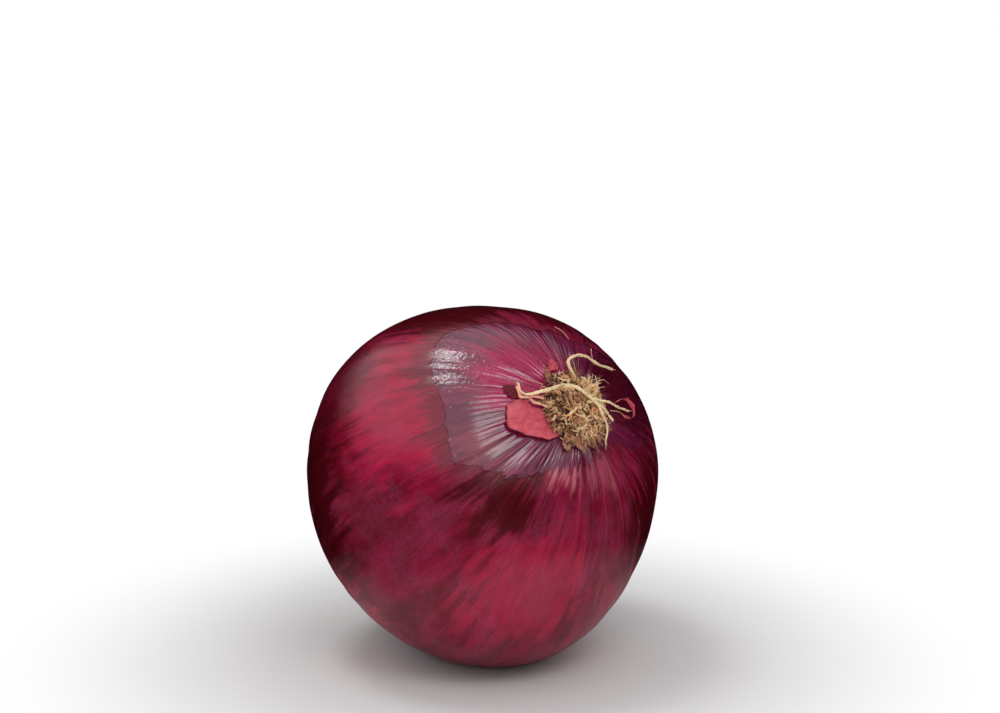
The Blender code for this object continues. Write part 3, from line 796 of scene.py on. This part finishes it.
def make_outer_skin():
    """The dry outer skin: one thin sheet from its torn edge round the root plate to its ragged end at the neck."""
    mesh, turn, along = grid_mesh("outer_skin_sheet", 460, 98)
    turn = turn * LAP
    along = np.interp(along, (0, 0.22, 0.86, 1), (0, 0.045, 0.93, 1))
    torn, neck = torn_edge(turn), neck_edge(turn)
    degrees = torn + (neck - torn) * along
    angle = np.radians(degrees)
    from_tear = np.radians(degrees - torn) * HALF
    from_neck = np.radians(neck - degrees) * HALF

    proud = np.clip(0.55 + 0.5 * waves(turn, 0.0, (3, 14), 8, 51), 0.1, 1.5)
    lift = edge_kind(turn, 3) * MM * proud * np.exp(-(from_tear / EDGE_CURL) ** 2)
    flare = NECK_FLARE * np.clip(0.4 + 0.6 * waves(turn, 0.0, (6, 20), 8, 52), 0, 1.6)
    flare = flare * np.exp(-(from_neck / NECK_FLARE_REACH) ** 2)
    crackle = CRACKLE * np.abs(waves(turn, angle, (60, 150), 20, 53, 12.0))
    crackle = crackle * np.exp(-(from_tear / CRACKLE_REACH) ** 2)

    places = form(angle, turn)
    places = places + unit(places) * (ribs(angle, turn) + lift + flare + crackle)[:, None]
    move_to(mesh, settle(places, 0.0))
    set_attribute(mesh, "from_tear", np.clip(from_tear / (edge_kind(turn, 4) * MM), 0, 3))
    set_attribute(mesh, "fringe", np.clip(from_tear / (edge_kind(turn, 5) * MM), 0, 3))
    weld(mesh, WELD)
    thicken(add_piece("outer_skin_sheet", mesh, outer_skin_material(), "outer_skin", "outer_skin"), SHEET, -1)


def spun(vectors, axes, amounts):
    """Vectors turned about their own axes by these angles."""
    cosine, sine = np.cos(amounts)[:, None], np.sin(amounts)[:, None]
    along = (vectors * axes).sum(-1, keepdims=True)
    return vectors * cosine + np.cross(axes, vectors) * sine + axes * along * (1 - cosine)


def tube_faces(steps, sides):
    """Faces of one closed tube of rings, whose last two points are the middles of its ends."""
    faces = []
    last = (steps - 1) * sides
    for corner in range(sides):
        beside = (corner + 1) % sides
        for low in range(0, last, sides):
            high = low + sides
            faces.append((low + corner, low + beside, high + beside, high + corner))
        faces.append((beside, corner, last + sides))
        faces.append((last + corner, last + beside, last + sides + 1))
    return faces


def tube_mesh(name, paths, radii, flatness, sides, tone, twist=0.0):
    """Closed flat twisted tubes along many paths of equal length, with each tube's tone along its rings."""
    count, steps = paths.shape[:2]
    twist = np.broadcast_to(np.asarray(twist, float), (count,))
    way = unit(np.gradient(paths, axis=1))
    side = unit(np.cross(way[:, 0], (0.31, 0.52, 0.79)))
    points = []
    for k in range(steps):
        side = unit(side - way[:, k] * (side * way[:, k]).sum(-1, keepdims=True))
        turned = spun(side, way[:, k], twist * k)
        flat = spun(np.cross(way[:, k], side), way[:, k], twist * k) * flatness[:, None]
        for corner in range(sides):
            around = LAP * corner / sides
            spoke = turned * math.cos(around) + flat * math.sin(around)
            points.append(paths[:, k] + spoke * radii[:, k, None])
    points = np.stack((*points, paths[:, 0], paths[:, -1]), axis=1)
    starts = range(0, points.shape[0] * points.shape[1], points.shape[1])
    pattern = tube_faces(steps, sides)
    faces = [tuple(start + index for index in face) for start in starts for face in pattern]
    mesh = bpy.data.meshes.new(name)
    mesh.from_pydata(points.reshape(-1, 3).tolist(), [], faces)
    mesh.update()
    ring = np.append(np.repeat(np.arange(steps), sides), (0, steps - 1))
    set_attribute(mesh, "tone", tone[:, ring].ravel())
    return mesh


def curly_paths(start, way, length, steps, draw, curl, lifts, reach):
    """Paths that leave their starts and curl at random, at a lift over the plate and within a reach."""
    count = len(start)
    bend_axis = unit(draw.normal(size=(count, 3)) + 0.8 * UP * draw.choice((-1, 1), (count, 1)))
    bend = draw.normal(0, curl, count)
    paths = [start]
    step = length / (steps - 1)
    for _ in range(steps - 1):
        way = unit(spun(way, bend_axis, bend) + draw.normal(0, 0.15, (count, 3)))
        bend = bend + draw.normal(0, curl * 0.35, count)
        point = paths[-1] + way * step[:, None]
        off_axis = np.hypot(point[:, 0], point[:, 1])
        point[:, :2] *= np.minimum(1.0, reach / np.maximum(off_axis, 1e-9))[:, None]
        off_axis = np.minimum(off_axis, reach)
        beside = bulb_height(point[:, 0], point[:, 1])
        floor = np.where(off_axis < PLATE_RADIUS, plate_top(off_axis), beside)
        point[:, 2] = np.clip(point[:, 2], floor + lifts, floor + lifts + ROOTLET_SPREAD)
        paths.append(point)
    return np.stack(paths, axis=1)


def make_rootlets():
    """The mat of short curly dried rootlets on the plate: stout ones and fine ones, lying every way."""
    draw = np.random.default_rng(3)
    count, steps, sides = 760, 11, 6
    share = np.sqrt((np.arange(count) + 0.5) / count)
    fine = draw.uniform(size=count) < 0.45
    turn = np.arange(count) * GOLDEN_TURN + draw.normal(0, 0.08, count)
    radius = PLATE_RADIUS * 1.04 * share
    outward = np.stack((np.cos(turn), np.sin(turn), np.zeros(count)), axis=1)
    start = outward * radius[:, None]
    start[:, 2] = plate_top(radius) - 0.4 * MM
    level = unit(draw.normal(0, 1, (count, 3)) * (1.0, 1.0, 0.15))
    upward = UP * draw.uniform(0, 0.9, (count, 1))
    way = unit(level + outward * (0.35 * share ** 2)[:, None] + upward)
    length = draw.uniform(2.4, 6.0, count) * MM
    lifts = draw.uniform(0.05, 1.25, count) * MM * (1 - 0.5 * share ** 2)
    reach = ROOT_MASS_RADIUS * draw.uniform(0.86, 1.04, count)
    paths = curly_paths(start, way, length, steps, draw, 0.50, lifts, reach)
    thick = np.where(fine, draw.uniform(0.07, 0.13, count), draw.uniform(0.17, 0.34, count)) * MM
    taper = 1 - 0.45 * np.linspace(0, 1, steps) ** 2
    radii = thick[:, None] * taper * (1 + draw.normal(0, 0.14, (count, steps)))
    # Painted shade: rootlets darker low in the mat, and lighter on one side and darker on the other, partly paler
    # fibres and partly painted shade
    off_axis = np.hypot(paths[..., 0], paths[..., 1])
    raised_for_painted_shade = (paths[..., 2] - plate_top(np.minimum(off_axis, PLATE_RADIUS))) / (2.0 * MM)
    pale_and_shaded_side = (paths[..., 0] * 0.8 - paths[..., 1] * 0.6) / ROOT_MASS_RADIUS
    pale = draw.uniform(size=count) < 0.38
    own = np.where(pale, draw.uniform(0.60, 1.0, count), draw.uniform(0.0, 0.45, count))
    tone = np.clip(own[:, None] + 0.60 * (np.clip(raised_for_painted_shade, 0, 1) - 0.4) + 0.28 * pale_and_shaded_side, 0, 1)
    mesh = tube_mesh("rootlets", paths, radii, draw.uniform(0.35, 0.95, count), sides, tone,
                     draw.normal(0, 0.25, count))
    add_piece("rootlets", mesh, DRIED_ROOT, "dried_root")


def make_tuft():
    """A tuft of pale wavy fibres on the plate's upper right."""
    draw = np.random.default_rng(5)
    count, steps, sides = 90, 10, 5
    root, tip = over(TUFT)
    start = root + draw.normal(0, 1.3, (count, 3)) * (MM, MM, 0.5 * MM)
    end = root + (tip - root) * draw.uniform(0.30, 1.0, (count, 1)) + draw.normal(0, 1.4, (count, 3)) * MM
    share = np.linspace(0, 1, steps)[None, :, None]
    sag = UP * draw.uniform(-0.3, 0.9, (count, 1))[:, None] * MM
    amount = draw.normal(0, 0.38, (count, 1, 3)) * MM
    bend = amount * np.sin(share * 6.5 + draw.uniform(0, 6, (count, 1, 1)))
    paths = start[:, None] * (1 - share) + end[:, None] * share + sag * share * (1 - share) * 2 + bend
    radii = draw.uniform(0.08, 0.22, (count, 1)) * MM * (1 - 0.4 * np.linspace(0, 1, steps))
    tone = draw.uniform(0.45, 1.0, (count, 1)) * np.ones(steps)
    mesh = tube_mesh("fibre_tuft", paths, radii, np.full(count, 0.8), sides, tone)
    add_piece("fibre_tuft", mesh, DRIED_ROOT, "dried_root")


def make_plate():
    """The corky plate under the rootlets, domed above and following the bulb's dimple below."""
    mesh, ball, turn = ball_mesh("corky_plate", 120, 48)
    x, y, z = ball.T
    radius = PLATE_RADIUS * np.hypot(x, y)
    bumps = PLATE_BUMP * waves(turn, radius / MM, (5, 40), 24, 61, 2.4)
    upper = plate_top(radius) + bumps * smooth_step(0.0, 0.3, z)
    lower = bulb_height(x * PLATE_RADIUS, y * PLATE_RADIUS) - BARE_DEPTH + 0.1 * MM + PLATE_RIM * (1 + z)
    spread = PLATE_RADIUS * (1 + 0.02 * waves(turn, 0.0, (6, 30), 12, 62))
    move_to(mesh, np.stack((x * spread, y * spread, np.where(z > 0, upper, lower)), axis=1))
    tone = 0.16 + 0.12 * waves(turn, radius / MM, (4, 30), 12, 63, 2.0)
    set_attribute(mesh, "tone", np.clip(tone, 0, 1))
    add_piece("corky_plate", mesh, DRIED_ROOT, "dried_root", "root_plate")


def smooth_path(points, steps):
    """A smooth curve through given points, read at even steps."""
    places = np.arange(len(points), dtype=float)
    read = np.linspace(0, len(points) - 1, steps)
    return np.stack([curve_through(tuple(zip(places, column)), read) for column in points.T], axis=1)


def make_long_roots():
    """The long pale dried roots: kinked, tapered, and frayed into thin strands at their free ends."""
    draw = np.random.default_rng(17)
    steps, sides, strands = 40, 10, 3
    share = np.linspace(0, 1, steps)
    paths, radii, tones = [], [], []
    for points, girth in zip(LONG_ROOTS.values(), LONG_ROOT_GIRTH):
        path = smooth_path(over(points), steps)
        kinks = np.cumsum(draw.normal(0, 0.05, (steps, 3)), axis=0) * MM
        path = path + (kinks - np.outer(share, kinks[-1])) * 0.8
        uneven = 1 + 0.10 * np.sin(share * 37 + draw.uniform(0, 6))
        knots = np.sin(share * draw.uniform(22, 34) + draw.uniform(0, 6))
        knots = 1 + 0.22 * np.maximum(0.0, knots) ** 6
        thick = ROOT_THICK * girth * (1.02 - 0.42 * share) * uneven
        paths.append(path)
        radii.append(thick * knots * (1 + draw.normal(0, 0.06, steps)))
        tones.append(np.clip(0.86 + 0.10 * np.sin(share * 9) + draw.normal(0, 0.03, steps), 0, 1))
        start = int(steps * 0.86)
        for _ in range(strands):
            loose = smooth_path(path[[start, start + 2, start + 4, steps - 1]], steps)
            spray = draw.normal(0, 0.45, 3) * MM + (path[-1] - path[-4]) * 0.5
            paths.append(loose + np.outer(share ** 2, spray))
            radii.append(ROOT_THICK * 0.34 * (1 - 0.7 * share))
            tones.append(np.full(steps, 0.75))
    count = len(paths)
    mesh = tube_mesh("long_roots", np.array(paths), np.array(radii), draw.uniform(0.50, 0.75, count), sides,
                     np.array(tones), draw.normal(0, 0.05, count))
    add_piece("long_roots", mesh, DRIED_ROOT, "dried_root")


def make_ribbons():
    """Flat salmon ribbons of root skin, folded beside the left root."""
    draw = np.random.default_rng(19)
    steps, count = 36, len(RIBBONS)
    share = np.linspace(0, 1, steps)
    paths = [smooth_path(over(points), steps) for points in RIBBONS]
    paths = [path + np.cumsum(draw.normal(0, 0.03, (steps, 3)), axis=0) * MM for path in paths]
    radii = np.tile(RIBBON_THICK * (1 - 0.3 * share) * (1 + 0.15 * np.sin(share * 23)), (count, 1))
    tone = np.full((count, steps), 0.7)
    mesh = tube_mesh("folded_ribbons", np.array(paths), radii, np.full(count, 0.22), 12, tone)
    add_piece("folded_ribbons", mesh, ribbon_material(), "dried_root")


def make_hairs():
    """Fine hairs that lie over the bulb beside the root plate."""
    steps, count = 16, len(HAIRS)
    paths = np.array([smooth_path(over(points), steps) for points in HAIRS])
    radii = np.tile(HAIR_THICK * (1 - 0.6 * np.linspace(0, 1, steps)), (count, 1))
    mesh = tube_mesh("fine_hairs", paths, radii, np.full(count, 0.8), 6, np.full((count, steps), 0.95))
    add_piece("fine_hairs", mesh, DRIED_ROOT, "dried_root")


def make_shreds():
    """Brown papery shreds that fray out, crumpled, from under the plate's rim."""
    draw = np.random.default_rng(23)
    joined = bmesh.new()
    inner = PLATE_RADIUS / MM * 0.80
    for degrees, reach, width in SHREDS:
        mesh, along, across = grid_mesh("shred", 16, 12)
        across = 2 * across - 1
        turn = math.radians(degrees)
        aslant = math.radians(degrees + draw.normal(0, 22))
        leaning = np.array((math.cos(aslant), math.sin(aslant)))
        sideways = np.array((-leaning[1], leaning[0]))
        phase = draw.uniform(0, 6, 6)
        jag = 1 + 0.22 * np.sin(along * 11 + phase[0] + np.sign(across)) + 0.12 * np.sin(along * 27 + phase[1])
        half_width = width / 2 * (1 - 0.30 * along ** 2.2) * jag
        end = reach - 0.3 + 0.55 * np.sin(across * 4 + phase[2]) + 0.35 * np.sin(across * 11 + phase[3])
        sway = draw.normal(0, 0.9) * along ** 2
        spot = (math.cos(turn) * inner, math.sin(turn) * inner) + np.outer((end - inner) * along, leaning)
        spot = spot + np.outer(across * half_width + sway, sideways)
        crumple = 0.22 * np.sin(along * 9 + across * 3 + phase[4])
        crumple = crumple + 0.16 * np.sin(across * 6 - along * 5 + phase[5])
        curl = 0.75 + draw.uniform(-0.1, 1.1) * along ** 2 + crumple
        move_to(mesh, over(np.column_stack((spot, np.maximum(curl, 0.12)))))
        joined.from_mesh(mesh)
        bpy.data.meshes.remove(mesh)
    piece = add_piece("brown_shreds", mesh_from(joined, "brown_shreds"), shred_material(), "dried_root")
    thicken(piece, SCRAP * 1.2, 0)


def along_edge(points, share):
    """Points along a run of straight stretches."""
    places = np.linspace(0, 1, len(points))
    return np.stack([np.interp(share, places, column) for column in np.array(points, float).T], axis=-1)


def make_scrap(name, inner, outer, lifts, cells, seed, *nodes, dark=False):
    """A scrap of dry skin between an inner and an outer edge, ragged, creased and lifting at its outer edge."""
    mesh, along, out = grid_mesh(name, *cells)
    phase = np.random.default_rng(seed).uniform(0, 6, 6)
    jag = 0.10 * np.sin(along * 31 + phase[0]) + 0.07 * np.sin(along * 67 + phase[1])
    jag = jag + 0.05 * np.sin(along * 123 + phase[2])
    spot = along_edge(inner, along) * (1 - out[:, None]) + along_edge(outer, along) * out[:, None]
    spot = spot * (1 + (jag / np.linalg.norm(spot, axis=1) * (2 * out - 1))[:, None])
    lift = lifts[0] + (lifts[1] - lifts[0]) * out ** 2 * np.sqrt(np.sin(math.pi * np.clip(along, 0, 1)))
    creases = 0.16 * np.sin(along * 12 + out * 4 + phase[3]) + 0.08 * np.sin(along * 27 - out * 9 + phase[4])
    move_to(mesh, over(np.column_stack((spot, lift / MM + creases * (0.3 + 0.7 * out)))))
    edge = np.minimum(np.minimum(along, 1 - along) * 3.0, np.minimum(out, 1 - out))
    # The rim attribute carries a painted shadow along the edges; a dark scrap takes it all over
    set_attribute(mesh, "rim", np.clip(edge * 6, 0, 1) * (0.02 if dark else 1.0))
    thicken(add_piece(name, mesh, SCRAP_SKIN, "scrap_skin", *nodes), SCRAP, 1)


def make_curl():
    """A narrow ribbon of skin curled over at the end of the right-hand root."""
    mesh, share, across = grid_mesh("curled_ribbon", 60, 6)
    spot = along_edge(smooth_path(over(CURL_PATH), 61), share)
    width = CURL_WIDTH * (1 - 0.35 * share) * (1 + 0.22 * np.sin(share * 29) + 0.14 * np.sin(share * 61 + 2))
    outward = unit(spot * (1, 1, 0))
    tilt = 0.5 + 0.7 * np.sin(share * 7)
    spot[:, 2] += width * (across - 0.3) * np.cos(tilt)
    spot = spot + outward * (width * (across - 0.5) * np.sin(tilt) + 0.25 * MM * across ** 2)[:, None]
    move_to(mesh, spot)
    # The rim attribute carries a painted shadow along the ribbon's sides
    set_attribute(mesh, "rim", np.clip(np.minimum(across, 1 - across) * 4, 0, 1))
    thicken(add_piece("curled_ribbon", mesh, SCRAP_SKIN, "scrap_skin", "skin_curl"), SCRAP, 0)


def make_neck_sheaths():
    """Dry pointed ends of the sheaths that stand up round the neck."""
    draw = np.random.default_rng(29)
    joined = bmesh.new()
    for index in range(SHEATHS):
        mesh, across, up = grid_mesh("sheath", 10, 14)
        across = 2 * across - 1
        ring = draw.uniform(0.45, 1.0)
        turn = index * GOLDEN_TURN + draw.uniform(-0.2, 0.2)
        width = draw.uniform(0.35, 0.6) * (1 - up ** 1.6)
        length = draw.uniform(2.6, 5.4) * MM
        radius = SHEATH_RADIUS * ring * (1 - 0.30 * up + 0.5 * draw.uniform(-0.4, 0.8) * up ** 2)
        around = turn + across * width + draw.normal(0, 0.25) * up
        radius = radius + 0.2 * MM * np.sin(across * 3 + up * 7 + draw.uniform(0, 6))
        height = -(SHEATH_START - 1.0 * MM * (1 - ring) + length * up)
        move_to(mesh, np.stack((radius * np.cos(around), radius * np.sin(around), height), axis=1))
        joined.from_mesh(mesh)
        bpy.data.meshes.remove(mesh)
    piece = add_piece("neck_sheaths", mesh_from(joined, "neck_sheaths"), shred_material(), "outer_skin")
    thicken(piece, SCRAP * 1.3, 0)


def make_floor():
    """A pale matte floor. It runs out to plain white for the camera, and to black in the bulb's gloss."""
    bpy.ops.mesh.primitive_plane_add(size=8, location=(0, 0, -0.05 * MM))
    floor = bpy.context.active_object
    floor.name = "floor"
    material, recipe, shader = plain_material("floor")
    shader.inputs["Roughness"].default_value = 0.7
    place = recipe.add("ShaderNodeNewGeometry").outputs["Position"]
    far = recipe.spread(recipe.vector_maths("DISTANCE", place, (0.0, 0.0, 0.0)), 0.044, 0.118)
    before = recipe.vector_maths("DISTANCE", place, (0.010, -0.025, 0.0))
    rays = recipe.add("ShaderNodeLightPath").outputs
    mirrored = recipe.times(rays["Is Glossy Ray"], recipe.spread(before, 0.042, 0.092))
    bright = recipe.mix(rays["Is Glossy Ray"], (0.80, 0.79, 0.79), (0.42, 0.41, 0.41))
    recipe.feed(shader.inputs["Base Color"], recipe.mix(mirrored, bright, (0.02, 0.02, 0.02)))
    white = recipe.add("ShaderNodeEmission", {"Color": (1.0, 1.0, 1.0), "Strength": 1.0})
    recipe.surface(recipe.times(far, rays["Is Camera Ray"]), shader.outputs[0], white.outputs[0])
    floor.data.materials.append(material)


def face_the_bulb(thing, place, front):
    """Sets a light or a card at its place, with its front to the bulb's heart."""
    thing.location = place
    thing.rotation_euler = (Vector(HEART) - Vector(place)).to_track_quat(front, "Y").to_euler()


def add_light(name, place, size, strength):
    """A soft rectangular light. Its strength is for each square metre."""
    light = bpy.data.lights.new(name, "AREA")
    light.shape = "RECTANGLE"
    light.size, light.size_y = size
    light.energy = strength * size[0] * size[1]
    holder = bpy.data.objects.new(name, light)
    bpy.context.scene.collection.objects.link(holder)
    face_the_bulb(holder, place, "-Z")
    holder.visible_camera = False
    return holder


def add_dark_card(name, place, size, depth=1.0):
    """A dark card with soft edges that only gloss sees, so that the bulb stays dark on that side."""
    bpy.ops.mesh.primitive_plane_add(size=1)
    card = bpy.context.active_object
    card.name = name
    card.scale = (*size, 1)
    face_the_bulb(card, place, "Z")
    material, recipe, shader = plain_material(name)
    recipe.feed(shader.inputs["Base Color"], (0.004, 0.003, 0.003))
    shader.inputs["Roughness"].default_value = 1.0
    shader.inputs["Specular IOR Level"].default_value = 0.0
    own_place = recipe.add("ShaderNodeTexCoord").outputs["Object"]
    parts = recipe.add("ShaderNodeSeparateXYZ", {"Vector": own_place}).outputs
    sides = [recipe.spread(recipe.maths("ABSOLUTE", parts[k]), 0.34, 0.50, 1.0, 0.0) for k in range(2)]
    clear = recipe.add("ShaderNodeBsdfTransparent").outputs[0]
    recipe.surface(recipe.times(recipe.times(*sides), depth), clear, shader.outputs[0])
    card.data.materials.append(material)
    card.visible_camera = False
    card.visible_diffuse = False
    card.visible_shadow = False


def light_the_scene():
    """A soft dome that fades out near the horizon and is white to the camera, one hot lamp, and dark cards."""
    world = bpy.data.worlds.new("studio")
    world.use_nodes = True
    recipe = Recipe(world.node_tree)
    seen = recipe.add("ShaderNodeLightPath").outputs["Is Camera Ray"]
    way = recipe.add("ShaderNodeTexCoord").outputs["Generated"]
    parts = recipe.add("ShaderNodeSeparateXYZ", {"Vector": way}).outputs
    dome = recipe.spread(parts[2], 0.24, 0.54, 0.015, 0.82)
    background = world.node_tree.nodes["Background"]
    recipe.feed(background.inputs["Strength"], recipe.between(seen, dome, 1.0))
    recipe.feed(background.inputs["Color"], (1.0, 1.0, 1.0))
    bpy.context.scene.world = world
    bulb = Vector(HEART)
    add_light("hot_lamp", bulb + Vector((-0.17, 0.07, 0.56)), (0.15, 0.17), 22.0)
    add_light("front_panel", bulb + Vector((0.155, -0.384, 0.459)), (0.30, 0.20), 8.0)
    fill = add_light("front_fill", bulb + Vector((-0.12, -0.60, 0.10)), (0.60, 0.30), 4.0)
    fill.visible_glossy = False
    add_dark_card("left_card", (-0.064, 0.038, 0.030), (0.140, 0.118))
    add_dark_card("right_card", (0.068, 0.044, 0.048), (0.144, 0.144))
    add_dark_card("back_card", (0.022, 0.086, 0.078), (0.220, 0.190))
    add_dark_card("high_card", bulb + Vector((0.095, -0.012, 0.228)), (0.170, 0.170), 0.7)


def place_camera():
    """The camera looks at the bulb as the photograph does."""
    level = Vector((1.0, 0.0, 0.0))
    ahead = Vector((0.0, math.cos(CAMERA_PITCH), -math.sin(CAMERA_PITCH)))
    upward = Vector((0.0, math.sin(CAMERA_PITCH), math.cos(CAMERA_PITCH)))
    focal = LENS / SENSOR * FRAME_WIDTH
    right = (HEART_PIXEL[0] - FRAME_MIDDLE[0]) / focal
    down = (HEART_PIXEL[1] - FRAME_MIDDLE[1]) / focal
    ray = (ahead + level * right - upward * down).normalized()
    shift = level * HEART_SHIFT[0] + level.cross(ray) * HEART_SHIFT[1]
    camera = bpy.data.cameras.new("camera")
    camera.lens = LENS
    camera.sensor_width = SENSOR
    camera.clip_start = 0.01
    holder = bpy.data.objects.new("camera", camera)
    bpy.context.scene.collection.objects.link(holder)
    holder.location = Vector(HEART) - ray * CAMERA_DISTANCE - shift
    holder.rotation_euler = (math.pi / 2 - CAMERA_PITCH, 0.0, 0.0)
    bpy.context.scene.camera = holder


DRIED_ROOT = dried_root_material()
SCRAP_SKIN = scrap_material()
make_inner_skin()
make_outer_skin()
make_plate()
make_rootlets()
make_tuft()
make_long_roots()
make_ribbons()
make_hairs()
make_shreds()
make_scrap("skin_flap_sheet", FLAP_INNER, FLAP_OUTER, FLAP_LIFT, (70, 36), 71, "skin_flap")
make_scrap("skin_tip_sheet", TIP_INNER, TIP_OUTER, TIP_LIFT, (30, 20), 72, "skin_tip")
# The dark scrap is painted shade: it takes the painted edge shadow all over
make_scrap("painted_shade_scrap", DARK_INNER, DARK_OUTER, DARK_LIFT, (24, 16), 73, dark=True)
make_curl()
make_neck_sheaths()
make_floor()
light_the_scene()
place_camera()
bpy.context.scene.view_settings.view_transform = "Standard"
